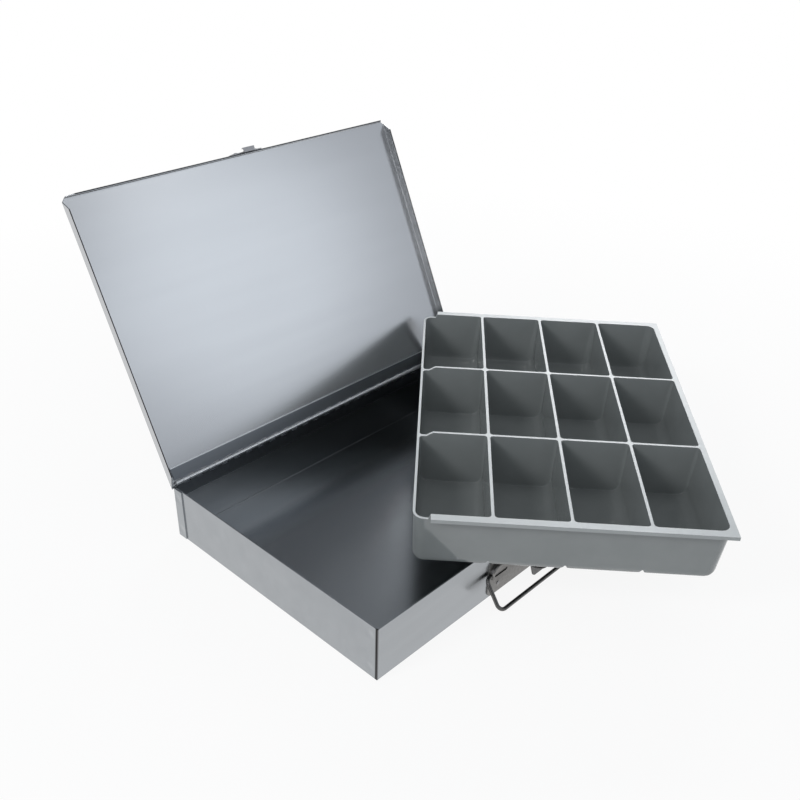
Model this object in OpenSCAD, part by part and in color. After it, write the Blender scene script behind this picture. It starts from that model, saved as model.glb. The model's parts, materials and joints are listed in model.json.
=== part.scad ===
// Compartment organizer box: a folded steel pan with a hinged lid, a draw latch,
// a wire handle and a lift-out plastic tray with a grid of pockets.
// Origin: middle of the pan's underside. X runs along the hinge, +Y to the hinge, +Z up.
// The lid stands open and the tray lies turned across the open pan.

/* [Pan] */
// Outside width of the pan, along the hinge
pan_w = 337; // [320:1:380]
// Outside depth of the pan, front to back
pan_d = 231.4; // [222:0.2:250]
// Height of the pan's walls
pan_h = 48.5; // [48:0.5:60]
// Thickness of the steel sheet
sheet = 0.9; // [0.7:0.1:1.2]
// Length of the lapped tabs at the pan's corners
tab_w = 10.6; // [8:0.2:14]
// Outside radius of the bends in the sheet
bend_r = 1.4; // [1.3:0.1:2]

/* [Lid] */
// How far the flanges reach down from the lid's top
flange_h = 8; // [7.5:0.5:9]
// Space between a flange and the pan's wall
lid_gap = 1.25; // [1.25:0.05:2]
// Corner cut off the lid at the front
corner_cut = 4; // [3:0.5:6]
// Overhang behind the hinge, which stops the open lid against the back wall
rear_over = 3.4; // [2.5:0.1:3.6]
// Angle the lid stands open at
open_deg = 115.6; // [100:0.2:116]

/* [Hinge] */
// Thickness of the hinge leaves
leaf_t = 0.8; // [0.6:0.1:1]
// Width of a leaf from the hinge axis
leaf_w = 13; // [10:0.5:16]
// Radius of the knuckles
knuckle_r = 1.8; // [1.6:0.1:2]
// Radius of the hinge pin
pin_r = 0.9; // [0.7:0.05:1]
// Length of one knuckle
knuckle_len = 6.35; // [6:0.05:12.7]
// Distance from the pan's end to the end of the leaves
hinge_inset = 2.5; // [1:0.5:8]

/* [Tray] */
// Height of the tray
tray_h = 47.5; // [44:0.5:48]
// Pockets along the tray's short side
columns = 4; // [2:1:5]
// Pockets along the tray's long side
rows = 3; // [2:1:4]
// Thickness of a divider at its top
divider = 2.2; // [1.8:0.1:3]
// Thickness of the tray's walls and floor
tray_wall = 1.8; // [1.5:0.1:2.5]
// Width of the lip on the short sides
lip_end = 4.8; // [3:0.2:6]
// Width of the lip on the long front side
lip_side = 2.8; // [2:0.2:5]
// Thickness of the lip
lip_t = 3; // [2.4:0.1:3.4]
// Drop of the rim on the side without a lip
rim_drop = 3.4; // [2.4:0.2:4]
// Radius where a pocket's long sides run into its floor
floor_r = 8; // [6.5:0.5:9]
// Inward slope of the walls with a lip from top to bottom
draft = 2.4; // [1.6:0.2:4]
// Inward slope of the wall without a lip from top to bottom
plain_draft = 0.8; // [0.6:0.2:2]
// Inward slope of the dividers from top to bottom
divider_draft = 0.6; // [0.4:0.1:1]
// Space round the tray when it sits in the pan
tray_clear = 1.2; // [1.2:0.1:2]
// Place of the tray's middle as it lies across the pan, along the hinge
tray_x = 90.6; // [86:0.2:110]
// Place of the tray's middle as it lies across the pan, front to back
tray_y = -65.7; // [-70:0.1:-60]
// Turn of the tray's short side from the pan's width
tray_turn = -49; // [-50:0.1:-45]

/* [Handle] */
// Radius of the handle's wire
bail_r = 1.6; // [1.3:0.1:1.8]
// Width between the handle's legs, middle to middle
bail_w = 110; // [104:1:120]
// Reach of the handle from its pivot to its bar
bail_reach = 27.5; // [26.5:0.5:30]
// Height of the handle's pivot
bail_z = 24.5; // [23:0.5:25.5]

/* [Latch] */
// Place of the latch from the middle of the front
latch_x = 1; // [-5:0.5:5]
// Height of the lever's pivot
lever_z = 28.1; // [27.5:0.1:28.5]
// Distance of the lever's pivot from the front wall
lever_out = 5; // [5:0.1:5.5]
// Length of the lever below its pivot
lever_len = 21.5; // [18:0.5:22]
// Width of the lever's thumb tab
tab_width = 20.5; // [16:0.5:24]
// Angle the lever hangs out from the wall
lever_tilt = 18; // [10:1:30]
// Distance of the loop's pin below the lever's pivot
throw = 4.2; // [4:0.1:4.5]
// Length of the loop from its pin to its bar
loop_len = 19.5; // [18.5:0.1:19.5]
// Width between the loop's legs, middle to middle
loop_w = 35; // [33:0.5:38]
// Radius of the loop's wire
loop_r = 0.8; // [0.7:0.05:0.9]
// Angle of the loop above level
loop_rise = 4; // [0:1:8]

/* [Fits] */
// Radial clearance of a turning pin in its hole
run_fit = 0.05; // [0.03:0.01:0.08]
// Clearance between pieces that move past each other
part_gap = 0.3; // [0.2:0.05:0.5]

/* [Hidden] */
$fn = 48;
eps = 0.01;
steel_grey = [0.63, 0.64, 0.65];
wire_dark = [0.14, 0.14, 0.15];
zinc = [0.62, 0.63, 0.64];
tray_grey = [0.42, 0.44, 0.45];

// the hinge axis lies just over the back wall
hinge_y = pan_d/2 - sheet - leaf_t + knuckle_r;
hinge_z = pan_h + knuckle_r + 0.2;
hinge_len = pan_w - 2*hinge_inset;
knuckles = 2*floor(hinge_len/(2*knuckle_len));
knuckle_pitch = hinge_len/knuckles;
knuckle_space = 0.25;

// the lid, in its shut place
lid_under = hinge_z + knuckle_r;
lid_top = lid_under + sheet;
lid_w = pan_w + 2*(sheet + lid_gap);
lid_front = -pan_d/2 - lid_gap - sheet;
lid_back = hinge_y + rear_over;
flange_low = lid_top - flange_h;

// the tray and its pockets
tray_l = pan_w - 2*sheet - 2*tray_clear;
tray_s = pan_d - 2*sheet - leaf_t - 2*0.7;
tray_left = -tray_s/2;
tray_right = tray_s/2 - lip_side;
tray_end = tray_l/2 - lip_end;
lip_start = 13;
outer_r = 9;
pocket_w = (tray_right - tray_left - 2*tray_wall - (columns - 1)*divider)/columns;
pocket_l = (2*tray_end - 2*tray_wall - (rows - 1)*divider)/rows;
// the tray lies on the front wall's rim and on the hinge, so it tilts a little
tray_tilt = atan((hinge_z + knuckle_r - pan_h)/(hinge_y + pan_d/2));
tray_z = pan_h + part_gap + tan(tray_tilt)*(tray_y + pan_d/2);

// the latch plate and what it carries; distances run out from the front wall
front_y = -pan_d/2;
pad_len = 19.4;
pad_height = 15.4;
pad_far = bail_w/2 - 5.5;
pad_mid = pad_far - pad_len/2;
bail_out = bail_r + run_fit + 0.65;
pad_out = bail_out + bail_r + run_fit + 0.4;
plate_half = pad_far + 1;
plate_low = 2;
plate_high = 37;
bail_drop = asin((bail_z - bail_r - 0.1)/bail_reach);
ear_near = 13.5;
ear_t = 1.2;
ear_r = 2.6;
lever_pin_r = 1;
loop_pin_r = 0.9;
cheek_far = ear_near - part_gap;
cheek_t = 1.5;
web_out = 1.9;
web_t = 1.1;
over_centre = 0.6;
// the loop's pin, out from the wall and up, with the lever flat and as it hangs
pin_out = lever_out - over_centre*cos(lever_tilt) + throw*sin(lever_tilt);
pin_z = lever_z - over_centre*sin(lever_tilt) - throw*cos(lever_tilt);
caught_z = lever_z - throw + loop_len;
caught_out = lid_gap + 2*sheet + loop_r + 0.2;

// Cylinder along X
module rod(r, x0, x1) {
    translate([x0, 0, 0])
        rotate([0, 90, 0])
            cylinder(r = r, h = x1 - x0);
}

// Box given by its lowest and highest corners
module block(low, high) {
    translate(low)
        cube(high - low);
}

// Puts a piece of the lid from its shut place to where the lid stands open
module on_lid() {
    translate([0, hinge_y, hinge_z])
        rotate([-open_deg, 0, 0])
            translate([0, -hinge_y, -hinge_z])
                children();
}

// Puts a piece drawn with its pivot at the origin onto the front wall
module on_front(out, z) {
    translate([latch_x, front_y - out, z])
        children();
}

// Outline of a pressed trough, flat at the top, with both lower corners rounded
module trough(width, height, r) {
    translate([-width/2, r])
        square([width, height - r]);
    translate([r - width/2, 0])
        square([width - 2*r, r + eps]);
    for (side = [-1, 1])
        translate([side*(width/2 - r), r])
            circle(r = r);
}

// The space of the pan: two troughs crossed, so that all four lower edges are round
module pan_block(w, d, h, r) {
    intersection() {
        translate([0, d/2 + 1, 0])
            rotate([90, 0, 0])
                linear_extrude(d + 2)
                    trough(w, h, r);
        translate([-w/2 - 1, 0, 0])
            rotate([90, 0, 90])
                linear_extrude(w + 2)
                    trough(d, h, r);
    }
}

// Tab of the back wall, bent round the corner and lapped on the side wall
module back_tab(side) {
    lap = pan_w/2 + sheet;
    translate([0, 0, bend_r])
        linear_extrude(pan_h - bend_r - 0.4)
            difference() {
                union() {
                    translate([side > 0 ? pan_w/2 - sheet/2 : -lap, pan_d/2 - tab_w])
                        square([1.5*sheet, tab_w - bend_r]);
                    translate([side > 0 ? pan_w/2 - 2*bend_r : -pan_w/2, pan_d/2 - 2*bend_r])
                        square([2*bend_r, 2*bend_r]);
                    translate([side*(lap - bend_r), pan_d/2 - bend_r])
                        circle(r = bend_r);
                }
                translate([side > 0 ? 0 : -pan_w/2 + sheet, -pan_d/2])
                    square([pan_w/2 - sheet, pan_d - sheet]);
            }
}

module box_pan() {
    color(steel_grey)
    difference() {
        union() {
            difference() {
                pan_block(pan_w, pan_d, pan_h, bend_r);
                translate([0, 0, sheet])
                    pan_block(pan_w - 2*sheet, pan_d - 2*sheet, pan_h, bend_r - sheet + 0.3);
            }
            for (side = [-1, 1]) {
                back_tab(side);
                // tab of the front wall, lapped inside the side wall
                translate([side*(pan_w/2 - 1.5*sheet) - sheet/2, -pan_d/2 + sheet/2, bend_r])
                    cube([sheet, tab_w, pan_h - bend_r - 1]);
            }
        }
        for (side = [-1, 1]) {
            // open joint up each front corner
            translate([side*pan_w/2 - 0.6, -pan_d/2 + sheet - 0.2, bend_r])
                cube([1.2, 0.6, pan_h]);
            // spot-weld dimples on the side walls
            for (z = [9, pan_h - 9])
                translate([side*pan_w/2 - 0.3, -pan_d/2 + tab_w - 3, z])
                    rod(1.8, 0, 0.6);
            for (z = [9, pan_h - 9])
                translate([side*(pan_w/2 + sheet) - 0.3, pan_d/2 - tab_w/2, z])
                    rod(1.8, 0, 0.6);
        }
    }
}

// Knuckles of one leaf, every other one, with a strip that runs into the leaf
module knuckle_row(first) {
    for (i = [first : 2 : knuckles - 1]) {
        x0 = -hinge_len/2 + i*knuckle_pitch + knuckle_space/2;
        x1 = x0 + knuckle_pitch - knuckle_space;
        rod(knuckle_r, x0, x1);
        translate([x0, -knuckle_r, -knuckle_r - 0.9])
            cube([x1 - x0, leaf_t, knuckle_r + 0.9]);
    }
}

// One hinge leaf with its axis at the origin, hanging down on the inside of a wall
module hinge_leaf(first) {
    difference() {
        union() {
            knuckle_row(first);
            block([-hinge_len/2, -knuckle_r, -leaf_w],
                  [hinge_len/2, leaf_t - knuckle_r, -knuckle_r - 0.5]);
        }
        rod(pin_r + run_fit, -pan_w, pan_w);
    }
}

module hinge_leaf_box() {
    color(zinc)
        translate([0, hinge_y, hinge_z])
            hinge_leaf(0);
}

module hinge_leaf_lid() {
    color(zinc)
        on_lid()
            translate([0, hinge_y, hinge_z])
                rotate([-90, 0, 0])
                    hinge_leaf(1);
}

module hinge_pin() {
    color(wire_dark)
        translate([0, hinge_y, hinge_z])
            rod(pin_r, -hinge_len/2 - 0.5, hinge_len/2 + 0.5);
}

// The space of the lid, drawn shut: round along both sides and the front, open behind
module lid_block(w, front, back, top, height, r) {
    intersection() {
        translate([0, back, top])
            rotate([90, 0, 0])
                linear_extrude(back - front + 1)
                    mirror([0, 1])
                        trough(w, height, r);
        translate([-w/2 - 1, 0, top])
            rotate([90, 0, 90])
                linear_extrude(w + 2) {
                    translate([front, -height])
                        square([back - front + 1, height - r]);
                    translate([front + r, -r - eps])
                        square([back - front - r + 1, r + eps]);
                    translate([front + r, -r])
                        circle(r = r);
                }
    }
}

module lid() {
    length = lid_back - lid_front;
    fold_z = lid_top - bend_r - 0.2;
    below = flange_low - 1;
    color(steel_grey)
    on_lid()
        difference() {
            lid_block(lid_w, lid_front, lid_back, lid_top, flange_h, bend_r);
            lid_block(lid_w - 2*sheet, lid_front + sheet, lid_back + 1, lid_under, flange_h, bend_r - sheet);
            for (side = [0, 1])
                mirror([side, 0, 0])
                    translate([lid_w/2, lid_front, 0]) {
                        // corner cut off at the front
                        translate([0, 0, below])
                            linear_extrude(flange_h + 2)
                                polygon([[1, -1], [1, corner_cut + 1], [-corner_cut - 1, -1]]);
                        // slanted ends of the side flange and of the front flange
                        translate([-sheet - 0.4, 0, 0])
                            rotate([90, 0, 90])
                                linear_extrude(sheet + 1) {
                                    polygon([[-1, fold_z], [corner_cut, fold_z],
                                             [corner_cut + 7, below], [-1, below]]);
                                    polygon([[length - 1.5, fold_z], [length + 1, fold_z],
                                             [length + 1, below], [length - rear_over - 9, below]]);
                                }
                        translate([0, sheet + 0.4, 0])
                            rotate([90, 0, 0])
                                linear_extrude(sheet + 1)
                                    polygon([[1, fold_z], [-corner_cut, fold_z],
                                             [-corner_cut - 6, below], [1, below]]);
                    }
        }
}

// Hook plate on the lid's front flange: a base on the flange and a turned-up lip below it
module strike() {
    base_w = 31;
    hook_w = 11.5;
    face = lid_gap + sheet;
    lip_in = caught_out + loop_r + 0.2;
    cup_z = caught_z - loop_r - 0.2;
    color(zinc)
    on_lid()
        translate([latch_x, front_y, 0])
            mirror([0, 1, 0]) {
                difference() {
                    block([-base_w/2, face, flange_low + 0.3], [base_w/2, face + sheet, lid_top - bend_r]);
                    for (side = [-1, 1])
                        translate([side*10.5, 0, (flange_low + lid_top - bend_r)/2])
                            rotate([-90, 0, 0])
                                cylinder(r = 1.2, h = 20, $fn = 24);
                }
                block([-hook_w/2, face, cup_z - sheet], [hook_w/2, face + sheet, flange_low + 0.5]);
                block([-hook_w/2, face, cup_z - sheet], [hook_w/2, lip_in + sheet, cup_z]);
                block([-hook_w/2, lip_in, cup_z - sheet], [hook_w/2, lip_in + sheet, caught_z + 0.6]);
            }
}

// Rivet with its shank along Y and a low domed head outside; the head's seat is at y = 0
module rivet(shank_r, shank_len, head_r) {
    rotate([-90, 0, 0])
        cylinder(r = shank_r, h = shank_len, $fn = 24);
    rotate([90, 0, 0])
        rotate_extrude($fn = 32)
            intersection() {
                translate([0, -1.4*head_r])
                    circle(r = 1.4*head_r + 0.8);
                square([head_r, 2]);
            }
}

module strike_rivet(side) {
    color(zinc)
    on_lid()
        translate([latch_x + side*10.5, front_y - lid_gap - 2*sheet, (flange_low + lid_top - bend_r)/2])
            rivet(1.2, sheet, 2.1);
}

// Obround plate lying on the wall, centred on the origin, facing -Y
module obround(length, height, t) {
    rotate([90, 0, 0])
        linear_extrude(t) {
            square([length - height, height], center = true);
            for (side = [-1, 1])
                translate([side*(length - height)/2, 0])
                    circle(d = height);
        }
}

// Obround pad like the plate above, with a slanted edge round its face
module pad(length, height, t, edge) {
    half = (length - height)/2;
    r = height/2;
    translate([-half, 0, 0])
        rotate([90, 0, 90])
            linear_extrude(2*half)
                polygon([[0, -r], [edge - t, -r], [-t, edge - r], [-t, r - edge], [edge - t, r], [0, r]]);
    for (side = [-1, 1])
        translate([side*half, 0, 0])
            rotate([90, 0, 0])
                rotate_extrude()
                    polygon([[0, 0], [r, 0], [r, t - edge], [r - edge, t], [0, t]]);
}

// Places of the plate's rivets, low and high
plate_rivets = [[plate_half - 12.5, 10.5], [plate_half - 29.5, 33]];

module latch_plate() {
    corner = 6;
    color(steel_grey)
    difference() {
        union() {
            on_front(0, 0)
                rotate([90, 0, 0])
                    linear_extrude(sheet) {
                        translate([-plate_half, plate_low + corner])
                            square([2*plate_half, plate_high - plate_low - 2*corner]);
                        translate([-plate_half + corner, plate_low])
                            square([2*plate_half - 2*corner, plate_high - plate_low]);
                        for (side = [-1, 1])
                            for (z = [plate_low + corner, plate_high - corner])
                                translate([side*(plate_half - corner), z])
                                    circle(r = corner);
                    }
            for (side = [-1, 1]) {
                // raised pad that holds the end of the handle
                on_front(sheet/2, bail_z)
                    translate([side*pad_mid, 0, 0])
                        pad(pad_len, pad_height, pad_out - sheet/2, 0.8);
                // ear that carries the lever's pin
                on_front(lever_out, lever_z)
                    translate([side*(ear_near + ear_t/2), 0, 0]) {
                        rod(ear_r, -ear_t/2, ear_t/2);
                        translate([-ear_t/2, 0, -ear_r])
                            cube([ear_t, lever_out - sheet/2, 2*ear_r]);
                    }
            }
        }
        on_front(lever_out, lever_z)
            rod(lever_pin_r + 0.02, -ear_near - ear_t - part_gap, ear_near + ear_t + part_gap);
        for (side = [0, 1]) {
            // bore for the handle's end, and the window that shows it
            on_front(bail_out, bail_z)
                mirror([side, 0, 0]) {
                    translate([pad_mid - pad_len/2 + 2, 0, 0])
                        rod(bail_r + run_fit, 0, 30);
                    translate([pad_mid, 0, 0])
                        obround(15, 3, 10);
                }
            on_front(20, 0)
                mirror([side, 0, 0])
                    for (place = plate_rivets)
                        translate([place[0], 0, place[1]])
                            rotate([-90, 0, 0])
                                cylinder(r = 0.9, h = 30, $fn = 24);
        }
    }
}

module plate_rivet(side, level) {
    color(zinc)
        on_front(sheet, plate_rivets[level][1])
            translate([side*plate_rivets[level][0], 0, 0])
                rivet(0.9, sheet, 1.5);
}

// Quarter of a ring of wire, its middle at the origin, from +X round to +Y
module elbow(bend, r) {
    rotate_extrude(angle = 90)
        translate([bend, 0])
            circle(r = r, $fn = 24);
}

// Wire handle: ends that turn in the pads, two legs and a bar that lies on the floor
module bail_handle() {
    top_bend = 4;
    low_bend = 6.5;
    half = bail_w/2;
    color(wire_dark)
    on_front(bail_out, bail_z)
        rotate([bail_drop, 0, 0]) {
            for (side = [0, 1])
                mirror([side, 0, 0]) {
                    rod(bail_r, pad_mid - pad_len/2 + 2.5, half - top_bend);
                    translate([half - top_bend, -top_bend, 0])
                        elbow(top_bend, bail_r);
                    translate([half, -top_bend, 0])
                        rotate([90, 0, 0])
                            cylinder(r = bail_r, h = bail_reach - top_bend - low_bend);
                    translate([half - low_bend, -bail_reach + low_bend, 0])
                        rotate([0, 0, -90])
                            elbow(low_bend, bail_r);
                }
            translate([0, -bail_reach, 0])
                rod(bail_r, -half + low_bend, half - low_bend);
        }
}

module lever_pin() {
    color(wire_dark)
        on_front(lever_out, lever_z)
            rod(lever_pin_r, -ear_near - ear_t - 0.5, ear_near + ear_t + 0.5);
}

// Folded lever: a web with a thumb tab, and two cheeks that carry both pins
module latch_lever() {
    tab_r = 2.5;
    wide_low = 9;
    color(zinc)
    on_front(lever_out, lever_z)
        rotate([-lever_tilt, 0, 0])
            difference() {
                union() {
                    block([-cheek_far, -web_out - web_t, -wide_low], [cheek_far, -web_out, 2.2]);
                    block([-tab_width/2, -web_out - web_t, -lever_len + tab_r], [tab_width/2, -web_out, -wide_low + eps]);
                    block([-tab_width/2 + tab_r, -web_out - web_t, -lever_len], [tab_width/2 - tab_r, -web_out, -wide_low]);
                    for (side = [-1, 1]) {
                        translate([side*(tab_width/2 - tab_r), -web_out, -lever_len + tab_r])
                            rotate([90, 0, 0])
                                cylinder(r = tab_r, h = web_t);
                        translate([side*(cheek_far - cheek_t/2), 0, 0]) {
                            rod(2.2, -cheek_t/2, cheek_t/2);
                            translate([0, over_centre, -throw])
                                rod(2, -cheek_t/2, cheek_t/2);
                            translate([-cheek_t/2, -web_out - web_t/2, -throw - 2])
                                cube([cheek_t, web_out + web_t/2 + over_centre, throw + 4.2]);
                        }
                    }
                }
                rod(lever_pin_r + run_fit, -cheek_far - part_gap, cheek_far + part_gap);
                translate([0, over_centre, -throw])
                    rod(loop_pin_r + 0.02, -cheek_far - part_gap, cheek_far + part_gap);
            }
}

module loop_pin() {
    color(wire_dark)
        on_front(pin_out, pin_z)
            rod(loop_pin_r, -loop_w/2 - 1.3, loop_w/2 + 1.3);
}

// Wire loop: two eyes on the pin, two legs and a round-cornered bar
module latch_loop() {
    bend = 7;
    eye_r = 1.9;
    half = loop_w/2;
    color(wire_dark)
    on_front(pin_out, pin_z)
        rotate([-loop_rise, 0, 0]) {
            difference() {
                for (side = [-1, 1])
                    translate([side*half, 0, 0]) {
                        rod(eye_r, -loop_r, loop_r);
                        rotate([90, 0, 0])
                            cylinder(r = loop_r, h = loop_len - bend);
                    }
                rod(loop_pin_r + run_fit, -pan_w, pan_w);
            }
            for (side = [0, 1])
                mirror([side, 0, 0])
                    translate([half - bend, -loop_len + bend, 0])
                        rotate([0, 0, -90])
                            elbow(bend, loop_r);
            translate([0, -loop_len, 0])
                rod(loop_r, -half + bend, half - bend);
        }
}

// Tapered block with round corners and a round edge below
module tapered(low, high, bottom_low, bottom_high, top_z, r, thick) {
    hull() {
        for (ix = [0, 1])
            for (iy = [0, 1]) {
                translate([ix == 0 ? low[0] + r : high[0] - r, iy == 0 ? low[1] + r : high[1] - r, top_z])
                    cylinder(r = r, h = thick, $fn = 16);
                translate([ix == 0 ? bottom_low[0] + r : bottom_high[0] - r,
                           iy == 0 ? bottom_low[1] + r : bottom_high[1] - r, r])
                    sphere(r = r, $fn = 16);
            }
    }
}

// Corner of a pocket's floor: round along Y with radius r, and round to its end with end_r
module floor_corner(r, end_r) {
    rotate([90, 0, 0])
        rotate_extrude($fn = 16)
            intersection() {
                translate([r - end_r, 0])
                    circle(r = end_r, $fn = 8);
                translate([0, -end_r])
                    square([r, 2*end_r]);
            }
}

// Pocket in one column and row: a trough along Y, with ends that are tight at a divider
// and rounder at the tray's ends; the sides on the tray's outside slope with its walls
module pocket(i, j) {
    x0 = tray_left + tray_wall + i*(pocket_w + divider);
    y0 = -tray_end + tray_wall + j*(pocket_l + divider);
    first = [i == 0, j == 0];
    last = [i == columns - 1, j == rows - 1];
    slope_x = [first[0] ? plain_draft : divider_draft, last[0] ? draft : divider_draft];
    slope_y = [first[1] ? draft : divider_draft, last[1] ? draft : divider_draft];
    hull()
        for (ix = [0, 1])
            for (iy = [0, 1]) {
                at_side = ix == 0 ? first[0] : last[0];
                at_end = iy == 0 ? first[1] : last[1];
                top_r = at_side && at_end ? 7 : 2.8;
                end_r = at_end ? 5 : 1.5;
                sx = 1 - 2*ix;
                sy = 1 - 2*iy;
                translate([x0 + ix*pocket_w + sx*top_r, y0 + iy*pocket_l + sy*top_r, tray_h + 0.2])
                    cylinder(r = top_r, h = 1, $fn = 16);
                translate([x0 + ix*pocket_w + sx*(slope_x[ix] + floor_r),
                           y0 + iy*pocket_l + sy*(slope_y[iy] + end_r), tray_wall + floor_r])
                    floor_corner(floor_r, end_r);
            }
}

// Groove under a divider, along Y, that follows the rounds of the two pockets beside it
module groove(length) {
    r = floor_r + tray_wall;
    mid = divider/2 + divider_draft + floor_r;
    from = 12;
    to = asin(min((mid - 0.4)/r, 0.98));
    step = (to - from)/5;
    foot = mid - r*sin(from) + (1 + r - r*cos(from))/tan(from);
    rotate([90, 0, 0])
        translate([0, 0, -length/2])
            linear_extrude(length)
                polygon(concat([[foot, -1]],
                    [for (k = [0 : 5]) [mid - r*sin(from + k*step), r - r*cos(from + k*step)]],
                    [for (k = [5 : -1 : 0]) [r*sin(from + k*step) - mid, r - r*cos(from + k*step)]],
                    [[-foot, -1]]));
}

// Cut that lowers the rim beside the wall without a lip, flat at first and then rising to the full height
module rim_cut(flat, full, length) {
    rotate([90, 0, 0])
        translate([0, 0, -length/2])
            linear_extrude(length)
                polygon([[tray_left - 1, tray_h - rim_drop], [tray_left + flat, tray_h - rim_drop],
                         [tray_left + 2*full - flat, tray_h + rim_drop], [tray_left - 1, tray_h + rim_drop]]);
}

module tray() {
    color(tray_grey)
    translate([tray_x, tray_y, tray_z])
        rotate([tray_tilt, 0, 0])
            rotate([0, 0, tray_turn])
                difference() {
                    union() {
                        tapered([tray_left, -tray_end], [tray_right, tray_end],
                                [tray_left + plain_draft, -tray_end + draft], [tray_right - draft, tray_end - draft],
                                tray_h - lip_t - 0.6, outer_r, lip_t + 0.6);
                        block([tray_left + lip_start, -tray_l/2, tray_h - lip_t], [tray_s/2, tray_l/2, tray_h]);
                    }
                    for (i = [0 : columns - 1])
                        for (j = [0 : rows - 1])
                            pocket(i, j);
                    rim_cut(7.2, lip_start - 0.4, 2*tray_l);
                    for (side = [-1, 1])
                        translate([0, side*tray_l/2, 0])
                            rim_cut(lip_start - 1.7, lip_start - 0.2, 2*(lip_end + tray_wall + 1));
                    for (i = [1 : columns - 1])
                        translate([tray_left + tray_wall + i*(pocket_w + divider) - divider/2, 0, 0])
                            groove(2*tray_l);
                }
}

box_pan();
hinge_leaf_box();
hinge_pin();
lid();
hinge_leaf_lid();
strike();
strike_rivet(-1);  // strike_rivet_left
strike_rivet(1);  // strike_rivet_right
latch_plate();
plate_rivet(-1, 0);  // plate_rivet_low_left
plate_rivet(1, 0);  // plate_rivet_low_right
plate_rivet(-1, 1);  // plate_rivet_high_left
plate_rivet(1, 1);  // plate_rivet_high_right
bail_handle();
lever_pin();
latch_lever();
loop_pin();
latch_loop();
tray();
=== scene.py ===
import json
import math

import bmesh
import bpy
from mathutils import Matrix, Vector


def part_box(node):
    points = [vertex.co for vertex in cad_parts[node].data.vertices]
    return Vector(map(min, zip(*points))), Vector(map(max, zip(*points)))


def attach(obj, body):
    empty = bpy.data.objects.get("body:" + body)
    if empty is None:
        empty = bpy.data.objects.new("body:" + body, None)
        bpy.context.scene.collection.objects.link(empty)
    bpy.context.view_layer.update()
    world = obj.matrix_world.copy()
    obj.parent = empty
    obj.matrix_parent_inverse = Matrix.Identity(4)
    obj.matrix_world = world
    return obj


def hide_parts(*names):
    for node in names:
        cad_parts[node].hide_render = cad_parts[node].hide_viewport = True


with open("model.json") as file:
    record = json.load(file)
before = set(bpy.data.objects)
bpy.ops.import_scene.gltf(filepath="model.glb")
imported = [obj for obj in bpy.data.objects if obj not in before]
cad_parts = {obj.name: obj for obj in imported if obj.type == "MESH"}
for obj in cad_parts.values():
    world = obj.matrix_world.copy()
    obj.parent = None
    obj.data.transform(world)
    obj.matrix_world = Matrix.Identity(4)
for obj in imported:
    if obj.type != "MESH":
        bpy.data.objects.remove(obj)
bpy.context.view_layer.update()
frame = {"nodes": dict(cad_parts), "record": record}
nodes = frame["nodes"]

# Camera. It stands in front and to the left of the box, above it, and looks down
# about a third of a right angle, as in the photograph, whose frame is a crop.
focal_px = 950.425
frame_px = 800
sensor_mm = 36
yaw, pitch, roll = (math.radians(a) for a in (-47.455, 33.405, 1.820))
centre_px = (403.107, 454.542)
offset = Vector((0.014027, -0.047532, -0.830481))

back = Vector((math.sin(yaw) * math.cos(pitch), -math.cos(yaw) * math.cos(pitch), math.sin(pitch)))
level = Vector((math.cos(yaw), math.sin(yaw), 0))
upward = back.cross(level)
rightward = math.cos(roll) * level + math.sin(roll) * upward
up = -math.sin(roll) * level + math.cos(roll) * upward
turn = Matrix((rightward, up, back)).transposed()
camera = bpy.data.objects.new("camera", bpy.data.cameras.new("camera"))
camera.matrix_world = Matrix.Translation(turn @ -offset) @ turn.to_4x4()
camera.data.sensor_width = sensor_mm
camera.data.lens = focal_px * sensor_mm / frame_px
camera.data.shift_x = (frame_px / 2 - centre_px[0]) / frame_px
camera.data.shift_y = (centre_px[1] - frame_px / 2) / frame_px
camera.data.clip_start = 0.01
bpy.context.scene.collection.objects.link(camera)
bpy.context.scene.camera = camera
bpy.context.scene.view_settings.view_transform = "Standard"


# Pan. One blank of cold-rolled sheet steel, folded, with a thin smooth grey coat in which
# the rolling still shows as faint streaks. Its tabs are lapped and spot-welded at the
# corners: a weld is a soft dent, and the joint at each front corner stays open, with a
# near-black band of painted shade along it that is wider than the gap.
def node_tree(name):
    material = bpy.data.materials.new(name)
    material.use_nodes = True
    tree = material.node_tree
    return material, tree, tree.nodes["Principled BSDF"]


def object_place(tree):
    return tree.nodes.new("ShaderNodeTexCoord").outputs["Object"]


def object_noise(tree, scale, detail, stretch=(1, 1, 1)):
    mapping = tree.nodes.new("ShaderNodeMapping")
    mapping.inputs["Scale"].default_value = stretch
    noise = tree.nodes.new("ShaderNodeTexNoise")
    noise.inputs["Scale"].default_value = scale
    noise.inputs["Detail"].default_value = detail
    tree.links.new(object_place(tree), mapping.inputs["Vector"])
    tree.links.new(mapping.outputs["Vector"], noise.inputs["Vector"])
    return noise.outputs["Fac"]


def ramp(tree, value, low, high, at=(0.3, 0.7)):
    node = tree.nodes.new("ShaderNodeValToRGB")
    for element, position, colour in zip(node.color_ramp.elements, at, (low, high)):
        element.position = position
        element.color = (*colour, 1)
    tree.links.new(value, node.inputs["Fac"])
    return node.outputs["Color"]


def span(tree, value, low, high, start=0.0, end=1.0, blend="LINEAR"):
    node = tree.nodes.new("ShaderNodeMapRange")
    node.interpolation_type = blend
    node.inputs["From Min"].default_value = start
    node.inputs["From Max"].default_value = end
    node.inputs["To Min"].default_value = low
    node.inputs["To Max"].default_value = high
    tree.links.new(value, node.inputs["Value"])
    return node.outputs["Result"]


def vector_step(tree, operation, vector, other=(0, 0, 0)):
    node = tree.nodes.new("ShaderNodeVectorMath")
    node.operation = operation
    node.inputs[1].default_value = other
    tree.links.new(vector, node.inputs[0])
    return node.outputs


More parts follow.
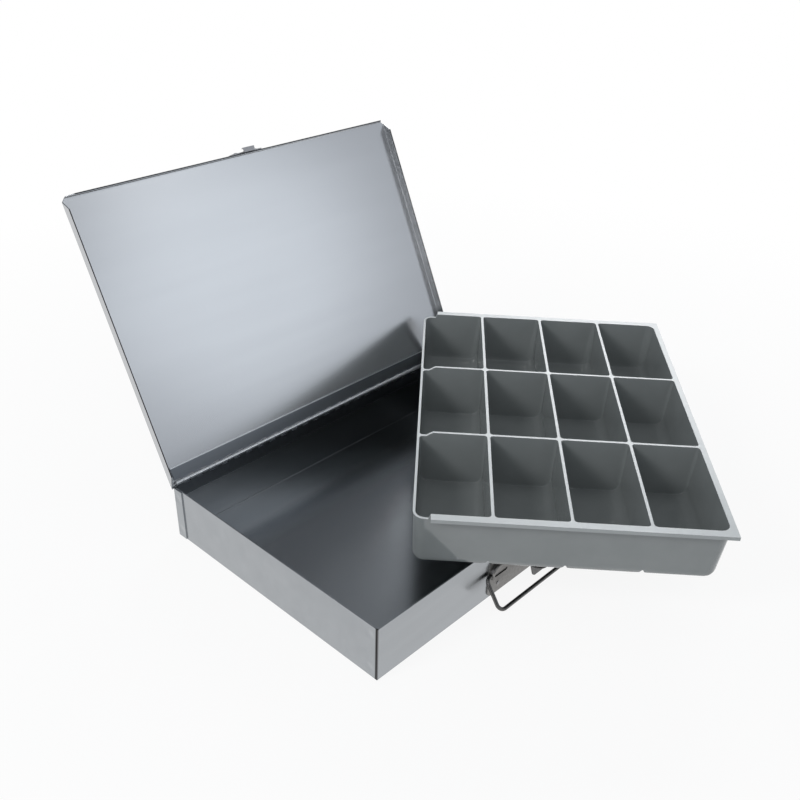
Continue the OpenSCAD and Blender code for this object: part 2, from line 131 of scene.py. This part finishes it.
def math_step(tree, operation, *values):
    node = tree.nodes.new("ShaderNodeMath")
    node.operation = operation
    for value, socket in zip(values, node.inputs):
        if isinstance(value, float):
            socket.default_value = value
        else:
            tree.links.new(value, socket)
    return node.outputs["Value"]


def bump(tree, normal, value, strength, distance):
    node = tree.nodes.new("ShaderNodeBump")
    node.inputs["Strength"].default_value = strength
    node.inputs["Distance"].default_value = distance
    tree.links.new(value, node.inputs["Height"])
    tree.links.new(node.outputs["Normal"], normal)


def painted(tree, shader, mask, paint, over):
    mix = tree.nodes.new("ShaderNodeMix")
    mix.data_type = "RGBA"
    tree.links.new(mask, mix.inputs["Factor"])
    tree.links.new(paint, mix.inputs["A"])
    if isinstance(over, tuple):
        mix.inputs["B"].default_value = (*over, 1)
    else:
        tree.links.new(over, mix.inputs["B"])
    tree.links.new(mix.outputs["Result"], shader.inputs["Base Color"])


def sheet_enamel(name, low, high, rough):
    material, tree, shader = node_tree(name)
    rolled_along_x = (0.06, 1, 1)
    cloud = object_noise(tree, scale=9, detail=2.0)
    streak = object_noise(tree, scale=60, detail=4.0, stretch=rolled_along_x)
    coat = ramp(tree, streak, low, high)
    tree.links.new(coat, shader.inputs["Base Color"])
    tree.links.new(span(tree, cloud, *rough), shader.inputs["Roughness"])
    bump(tree, shader.inputs["Normal"], cloud, strength=0.03, distance=0.002)
    shader.inputs["Metallic"].default_value = 1.0
    return material, tree, shader, coat


def dress(names, material):
    for name in names:
        mesh = nodes[name].data
        mesh.materials.clear()
        mesh.materials.append(material)


def rounded_copy(node, name, body, material, radius, pits=()):
    fold = math.radians(40)
    flat = math.radians(0.5)
    same_point = 1e-6
    pit_reach, pit_depth = 0.002, 0.0001
    form = bmesh.new()
    form.from_mesh(nodes[node].data)
    bmesh.ops.remove_doubles(form, verts=form.verts, dist=same_point)
    for pit in pits:
        deep = [v for v in form.verts
                if (v.co - pit).length < pit_reach and abs(v.co.x) < abs(pit.x) - pit_depth]
        bmesh.ops.delete(form, geom=deep, context="VERTS")
    bmesh.ops.holes_fill(form, edges=[e for e in form.edges if e.is_boundary], sides=0)
    bmesh.ops.dissolve_limit(form, angle_limit=flat, verts=form.verts, edges=form.edges)
    sharp = [e for e in form.edges if e.is_manifold and e.calc_face_angle(0) > fold]
    bmesh.ops.bevel(form, geom=sharp, offset=radius, offset_type="OFFSET", segments=2, profile=0.5,
                    affect="EDGES", clamp_overlap=True, material=-1)
    for face in form.faces:
        face.smooth = True
    mesh = bpy.data.meshes.new(name)
    form.to_mesh(mesh)
    form.free()
    mesh.materials.append(material)
    piece = bpy.data.objects.new(name, mesh)
    bpy.context.scene.collection.objects.link(piece)
    weighted = piece.modifiers.new("flats", "WEIGHTED_NORMAL")
    weighted.weight = 100
    weighted.keep_sharp = True
    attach(piece, body)
    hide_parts(node)
    dress([node], material)
    return piece


edge_radius = 0.00025
sheet = 0.0009
weld_in_front, weld_in_back = 0.0076, 0.0053
weld_heights = (0.009, 0.0395)
weld_reach, weld_dent = 0.0055, 0.0012
seam_in, seam_half, seam_edge = 0.001, 0.0008, 0.0016
seam_painted_shade = (0.07, 0.07, 0.072)

pan_low, pan_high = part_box("box_pan")
tab_x = pan_high[0]
wall_x = tab_x - sheet
front_y, back_y = pan_low[1], pan_high[1]
weld_columns = ((wall_x, front_y + weld_in_front), (tab_x, back_y - weld_in_back))
welds = [(x, y, z) for x, y in weld_columns for z in weld_heights]

pan_enamel, tree, shader, coat = sheet_enamel(
    "pan_enamel", (0.36, 0.378, 0.395), (0.39, 0.408, 0.425), (0.20, 0.24))
split = tree.nodes.new("ShaderNodeSeparateXYZ")
join = tree.nodes.new("ShaderNodeCombineXYZ")
tree.links.new(object_place(tree), split.inputs["Vector"])
tree.links.new(math_step(tree, "ABSOLUTE", split.outputs["X"]), join.inputs["X"])
tree.links.new(split.outputs["Y"], join.inputs["Y"])
tree.links.new(split.outputs["Z"], join.inputs["Z"])
both_sides = join.outputs["Vector"]
nearest = 1.0
for weld in welds:
    from_weld = vector_step(tree, "DISTANCE", both_sides, weld)["Value"]
    nearest = math_step(tree, "MINIMUM", nearest, from_weld)
dent = span(tree, nearest, 0.0, 1.0, 0.0, weld_reach, "SMOOTHSTEP")
coat_bump = shader.inputs["Normal"].links[0].from_node
bump(tree, coat_bump.inputs["Normal"], dent, strength=0.5, distance=weld_dent)
# Painted shade: a near-black band along the open joint at each front corner, wider than the gap
# itself.
in_plan = vector_step(tree, "MULTIPLY", both_sides, (1, 1, 0))["Vector"]
from_seam = vector_step(tree, "DISTANCE", in_plan, (wall_x, front_y + seam_in, 0))["Value"]
seam_shade_band = span(tree, from_seam, 0.0, 1.0, seam_edge, seam_half, "SMOOTHSTEP")
painted(tree, shader, seam_shade_band, coat, seam_painted_shade)
pits = [Vector((side * x, y, z)) for x, y, z in welds for side in (-1, 1)]
rounded_copy("box_pan", "pan_folded", "box", pan_enamel, edge_radius, pits)


# Lid. The same coated sheet with flanges folded towards the pan, held by the hinge alone.
# The flanges' cut edge is painted near-black, standing in for the shade along the flange.
def beyond(tree, direction, limit):
    along = vector_step(tree, "DOT_PRODUCT", object_place(tree), direction)["Value"]
    return math_step(tree, "GREATER_THAN", along, limit)


open_angle = math.radians(115.6)
cut_depth = 0.0003
cut_edge_shade = (0.05, 0.05, 0.052)
inward = Vector((0, -math.sin(open_angle), -math.cos(open_angle)))
cut_level = max(v.co.dot(inward) for v in nodes["lid"].data.vertices) - cut_depth
lid_enamel, tree, shader, coat = sheet_enamel(
    "lid_enamel", (0.528, 0.538, 0.553), (0.545, 0.555, 0.57), (0.21, 0.25))
# Painted shade: the flanges' cut edge is painted near-black.
painted(tree, shader, beyond(tree, inward, cut_level), coat, cut_edge_shade)
rounded_copy("lid", "lid_folded", "lid", lid_enamel, edge_radius)


# Piano hinge. Two rolled leaves of bare strip on one long steel pin, welded inside the
# pan's back wall and inside the lid. The strip is dull on the flat; its upper edge and the
# knuckles carry a pale painted highlight.
highlight_edge = 0.0009
knuckle_reach = 0.00195
painted_highlight = (0.78, 0.80, 0.82)
joints = frame["record"]["behaviour"]["joints"]
hinge_line = next(j["pos_m"] for j in joints if j["name"] == "lid_swing")
uphill = Vector((0, -math.cos(open_angle), math.sin(open_angle)))
leaf_top = max(v.co.dot(uphill) for v in nodes["hinge_leaf_lid"].data.vertices) - highlight_edge
leaf_steel, tree, shader, coat = sheet_enamel(
    "leaf_steel", (0.19, 0.205, 0.225), (0.22, 0.235, 0.255), (0.30, 0.38))
# Painted highlight: the knuckles and the lid leaf's upper edge get a pale colour.
in_section = vector_step(tree, "MULTIPLY", object_place(tree), (0, 1, 1))["Vector"]
from_pin = vector_step(tree, "DISTANCE", in_section, (0, hinge_line[1], hinge_line[2]))["Value"]
on_knuckle = math_step(tree, "LESS_THAN", from_pin, knuckle_reach)
highlight_mask = math_step(tree, "MAXIMUM", on_knuckle, beyond(tree, uphill, leaf_top))
painted(tree, shader, highlight_mask, coat, painted_highlight)
rounded_copy("hinge_leaf_box", "leaf_on_pan", "box", leaf_steel, edge_radius)
rounded_copy("hinge_leaf_lid", "leaf_on_lid", "lid", leaf_steel, edge_radius)
pin_steel = sheet_enamel("pin_steel", (0.55, 0.56, 0.57), (0.66, 0.67, 0.68), (0.26, 0.34))[0]
dress(["hinge_pin"], pin_steel)


# Latch plate. A stamped steel plate with a dull brownish coat, riveted on the front wall;
# it carries the handle's bosses and the lever's ears.
def plated(name, low, high, rough):
    material, tree, shader = node_tree(name)
    grain = object_noise(tree, scale=420, detail=4.0)
    tree.links.new(ramp(tree, grain, low, high), shader.inputs["Base Color"])
    tree.links.new(span(tree, grain, *rough), shader.inputs["Roughness"])
    bump(tree, shader.inputs["Normal"], grain, strength=0.1, distance=0.0003)
    shader.inputs["Metallic"].default_value = 1.0
    return material


plate_coat = plated("plate_coat", (0.19, 0.186, 0.18), (0.27, 0.265, 0.26), (0.32, 0.46))
rounded_copy("latch_plate", "plate_stamped", "box", plate_coat, edge_radius)


# Lever. Stamped and folded steel strip with a dark dull plating, on a pin between the
# plate's ears.
lever_plating = plated("lever_plating", (0.13, 0.13, 0.13), (0.18, 0.18, 0.18), (0.3, 0.42))
rounded_copy("latch_lever", "lever_stamped", "lever", lever_plating, edge_radius)


# Strike. A small hook stamped from steel strip, with a dull bright plating, riveted on the
# lid's front flange.
strike_plating = plated("strike_plating", (0.30, 0.30, 0.31), (0.38, 0.38, 0.39), (0.3, 0.42))
rounded_copy("strike", "strike_stamped", "lid", strike_plating, edge_radius)


# Rivets and lever pin. Headed steel with the strike's plating: two rivets hold the strike,
# four hold the latch plate, and the pin goes through the plate's ears.
dress(["strike_rivet_left", "strike_rivet_right", "lever_pin",
       "plate_rivet_low_left", "plate_rivet_low_right",
       "plate_rivet_high_left", "plate_rivet_high_right"], strike_plating)


# Handle and loop. Round steel wire, bent cold and blackened, with a slight sheen. The
# handle's ends turn in the plate's bosses, and the loop turns on the lever's second pin.
wire_black = plated("wire_black", (0.10, 0.099, 0.097), (0.14, 0.138, 0.135), (0.2, 0.28))
dress(["bail_handle", "latch_loop", "loop_pin"], wire_black)


# Tray. A glossy grey styrene moulding with drafted pockets, which lies loose across the
# box. Every rim has the small radius of the mould. The upward rims and the lips' front
# edges are painted a paler grey as painted top light, and they are rougher.
tray_plastic, tree, shader = node_tree("tray_plastic")
mottle = object_noise(tree, scale=35, detail=3.0)
grain = object_noise(tree, scale=900, detail=2.0)
body_grey = ramp(tree, mottle, (0.21, 0.228, 0.228), (0.231, 0.249, 0.249))
rim_painted_light = ramp(tree, mottle, (0.53, 0.56, 0.565), (0.57, 0.60, 0.605))
# Painted light: upward faces near the top, and the lips' front edges, get the paler rim grey.
top_light_paint = tree.nodes.new("ShaderNodeAttribute")
top_light_paint.attribute_name = "top_light_paint"
painted(tree, shader, top_light_paint.outputs["Fac"], body_grey, rim_painted_light)
glossy, rubbed_dull = (0.09, 0.13), (0.27, 0.37)
gloss = tree.nodes.new("ShaderNodeMix")
tree.links.new(top_light_paint.outputs["Fac"], gloss.inputs["Factor"])
tree.links.new(span(tree, grain, *glossy), gloss.inputs["A"])
tree.links.new(span(tree, grain, *rubbed_dull), gloss.inputs["B"])
tree.links.new(gloss.outputs["Result"], shader.inputs["Roughness"])
bump(tree, shader.inputs["Normal"], grain, strength=0.05, distance=0.0002)
styrene_ior = 1.59
shader.inputs["IOR"].default_value = styrene_ior

rim_radius = 0.0004
moulding = rounded_copy("tray", "tray_moulding", "tray", tray_plastic, rim_radius)

rim_depth = 0.014
slope_unlit, slope_span = 0.3, 0.5
lip_edge, lip_facing, lip_painted_light = 0.0003, 0.9, 0.3
tray_turn = math.radians(-49)
lengthwise = Vector((-math.sin(tray_turn), math.cos(tray_turn), 0))
sideways = Vector((math.cos(tray_turn), math.sin(tray_turn), 0))
lips = [(d, max(v.co.dot(d) for v in moulding.data.vertices) - lip_edge)
        for d in (lengthwise, -lengthwise, sideways)]
rim_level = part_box("tray")[1][2] - rim_depth
# Painted top light: a face's share of the paler grey grows with how far it faces up; lip front
# edges get part of it.
top_light_layer = moulding.data.attributes.new("top_light_paint", "FLOAT", "FACE")
for face, value in zip(moulding.data.polygons, top_light_layer.data):
    if face.center.z > rim_level:
        value.value = max(0.0, min(1.0, (face.normal.z - slope_unlit) / slope_span))
        if any(face.normal.dot(d) > lip_facing and face.center.dot(d) > far for d, far in lips):
            value.value = lip_painted_light


# Studio. A white floor that runs to the edge of sight and keeps a faint shadow, a pale
# surround with a dim side behind the camera, and soft lamps. The lid mirrors the lamps on
# the right, the rims mirror the one behind, and the one on the left lights the pockets.
floor_half = 6
paper_white = (0.85, 0.85, 0.85, 1)
glow_near, glow_far = 0.9, 1.0
shadow_near, shadow_far = 0.3, 0.9
floor_mesh = bpy.data.meshes.new("floor")
floor_form = bmesh.new()
bmesh.ops.create_grid(floor_form, x_segments=1, y_segments=1, size=floor_half)
floor_form.to_mesh(floor_mesh)
floor_form.free()
floor = bpy.data.objects.new("floor", floor_mesh)
bpy.context.scene.collection.objects.link(floor)
floor_white, tree, shader = node_tree("floor_white")
tree.nodes.remove(shader)
paper = tree.nodes.new("ShaderNodeBsdfDiffuse")
paper.inputs["Color"].default_value = paper_white
glow = tree.nodes.new("ShaderNodeEmission")
rays = tree.nodes.new("ShaderNodeLightPath").outputs
seen = math_step(tree, "MAXIMUM", rays["Is Camera Ray"], rays["Is Glossy Ray"])
away = vector_step(tree, "LENGTH", object_place(tree))["Value"]
fade = span(tree, away, glow_near, glow_far, shadow_near, shadow_far)
floor_mix = tree.nodes.new("ShaderNodeMixShader")
tree.links.new(math_step(tree, "MULTIPLY", seen, fade), floor_mix.inputs["Fac"])
tree.links.new(paper.outputs["BSDF"], floor_mix.inputs[1])
tree.links.new(glow.outputs["Emission"], floor_mix.inputs[2])
tree.links.new(floor_mix.outputs["Shader"], tree.nodes["Material Output"].inputs["Surface"])
floor_mesh.materials.append(floor_white)

sky_heights = (0.4, 0.6, 0.8)
sky_lights = (0.56, 0.62, 0.41, 0.28, 0.26)
sky_tint = (0.94, 0.99, 1.06)
light_front, light_back = 1.15, 0.6
dim_side = (-0.652, -0.744, 0.147)
dim_from, dim_full, dim_light = 0.90, 0.975, 0.2
world = bpy.data.worlds.new("studio")
bpy.context.scene.world = world
world.use_nodes = True
tree = world.node_tree
tree.nodes.clear()
aim = tree.nodes.new("ShaderNodeTexCoord").outputs["Generated"]
parts = tree.nodes.new("ShaderNodeSeparateXYZ")
tree.links.new(aim, parts.inputs["Vector"])
sky = tree.nodes.new("ShaderNodeValToRGB")
for height in sky_heights:
    sky.color_ramp.elements.new(height)
for element, light in zip(sky.color_ramp.elements, sky_lights):
    element.color = (*(light * tint for tint in sky_tint), 1)
tree.links.new(parts.outputs["Z"], sky.inputs["Fac"])
front_light = span(tree, parts.outputs["Y"], light_front, light_back, -1.0, 1.0)
towards_dim = vector_step(tree, "DOT_PRODUCT", aim, dim_side)["Value"]
dim = span(tree, towards_dim, 1.0, dim_light, dim_from, dim_full)
surround = tree.nodes.new("ShaderNodeBackground")
tree.links.new(sky.outputs["Color"], surround.inputs["Color"])
tree.links.new(math_step(tree, "MULTIPLY", front_light, dim), surround.inputs["Strength"])
white = tree.nodes.new("ShaderNodeBackground")
white.inputs["Color"].default_value = (1, 1, 1, 1)
rays = tree.nodes.new("ShaderNodeLightPath").outputs
sky_mix = tree.nodes.new("ShaderNodeMixShader")
output = tree.nodes.new("ShaderNodeOutputWorld")
tree.links.new(rays["Is Camera Ray"], sky_mix.inputs["Fac"])
tree.links.new(surround.outputs["Background"], sky_mix.inputs[1])
tree.links.new(white.outputs["Background"], sky_mix.inputs[2])
tree.links.new(sky_mix.outputs["Shader"], output.inputs["Surface"])


def lamp(name, spot, target, size, power, colour=(1, 1, 1)):
    light = bpy.data.lights.new(name, "AREA")
    light.shape = "ELLIPSE"
    light.size, light.size_y = size
    light.energy = power
    light.color = colour
    body = bpy.data.objects.new(name, light)
    body.location = spot
    towards = Vector(target) - Vector(spot)
    body.rotation_euler = towards.to_track_quat("-Z", "Y").to_euler()
    bpy.context.scene.collection.objects.link(body)


ground = (0, 0, 0)
on_lid = (0, 0.165, 0.15)
on_tray = (0.1, -0.06, 0.1)
lamp("lamp_overhead", (0.1, 0.1, 1.7), ground, (0.9, 0.9), 2.4)
lamp("lamp_right", (0.99, -1.30, 0.83), on_lid, (0.8, 0.75), 1.0, (0.9, 0.95, 1.0))
lamp("lamp_high", (0.79, -1.05, 1.23), ground, (0.42, 0.42), 0.3)
lamp("lamp_behind", (1.57, 0.72, 1.02), on_tray, (1.05, 0.68), 9.5)
lamp("lamp_front", (-1.62, -0.975, 0.60), on_tray, (0.5, 0.45), 2.5)
lamp("lamp_left", (-1.36, 0.18, 1.16), on_tray, (0.5, 0.5), 9.5)
lamp("lamp_beyond", (0.95, 1.30, 0.92), on_tray, (0.7, 0.6), 0.9)
lamp("lamp_camera", (-0.75, -0.85, 1.34), on_tray, (0.12, 0.12), 1.6)
